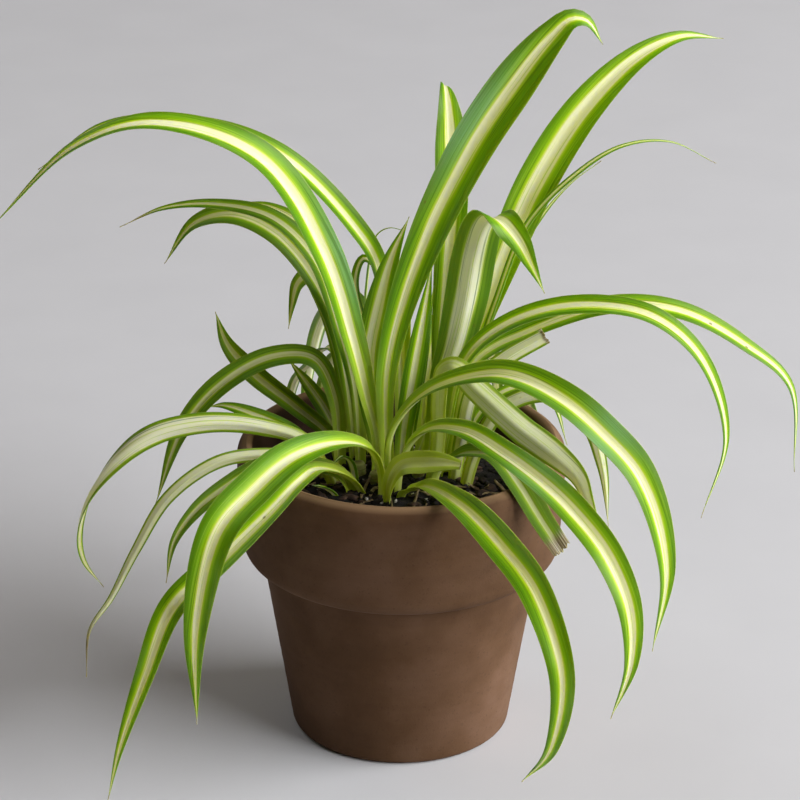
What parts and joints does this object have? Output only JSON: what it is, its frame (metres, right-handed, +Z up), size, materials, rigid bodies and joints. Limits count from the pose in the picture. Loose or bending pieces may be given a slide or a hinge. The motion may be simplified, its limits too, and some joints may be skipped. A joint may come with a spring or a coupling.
{
  "type": "potted spider plant",
  "caption": "Houseplant with long, arching, cream-striped strap leaves in a tapered clay flower pot filled with soil.",
  "frame": {"origin": "centre of the pot's foot, on the surface that it stands on", "axes": "+Z up along the pot's axis; +X to the right and +Y away from the viewer as the picture shows it"},
  "size_m": [0.3159, 0.2909, 0.295],
  "materials": {
    "clay": "matte, unglazed fired clay",
    "soil": "matte, crumbly, damp potting soil",
    "crown": "satin, fleshy plant stem",
    "leaf": "satin leaf, green with a cream stripe along the middle"
  },
  "bodies": {
    "root": {"pot": "clay", "soil": "soil", "crown_left": "crown", "crown_middle": "crown", "crown_right": "crown", "leaf_left_long": "leaf", "leaf_left_behind": "leaf", "leaf_left_level": "leaf", "leaf_left_upper": "leaf", "leaf_left_hook": "leaf", "leaf_left_droop": "leaf", "leaf_left_bow": "leaf", "leaf_left_raised": "leaf", "leaf_left_low": "leaf", "leaf_left_narrow": "leaf", "leaf_left_pale": "leaf", "leaf_left_thin": "leaf", "leaf_left_brown": "leaf", "leaf_front_left": "leaf", "leaf_front_low": "leaf", "leaf_front_right": "leaf", "leaf_right_low": "leaf", "leaf_right_torn": "leaf", "leaf_front_short": "leaf", "leaf_mid_tall": "leaf", "leaf_mid_behind": "leaf", "leaf_mid_left": "leaf", "leaf_mid_front": "leaf", "leaf_mid_slim": "leaf", "leaf_mid_broad": "leaf", "leaf_right_long": "leaf", "leaf_right_edge": "leaf", "leaf_right_thin": "leaf", "leaf_right_arch": "leaf", "leaf_right_wide": "leaf", "leaf_right_stub": "leaf", "leaf_right_near": "leaf", "leaf_right_under": "leaf", "leaf_right_tip": "leaf", "leaf_right_rear": "leaf", "leaf_back_long": "leaf", "leaf_back_right": "leaf", "leaf_back_left": "leaf", "leaf_back_low_left": "leaf", "leaf_back_low_right": "leaf", "leaf_back_low": "leaf", "leaf_back_trailing": "leaf", "leaf_back_arch": "leaf", "leaf_crown_low": "leaf", "leaf_crown_front": "leaf", "leaf_back_tip": "leaf"}
  },
  "joints": []
}
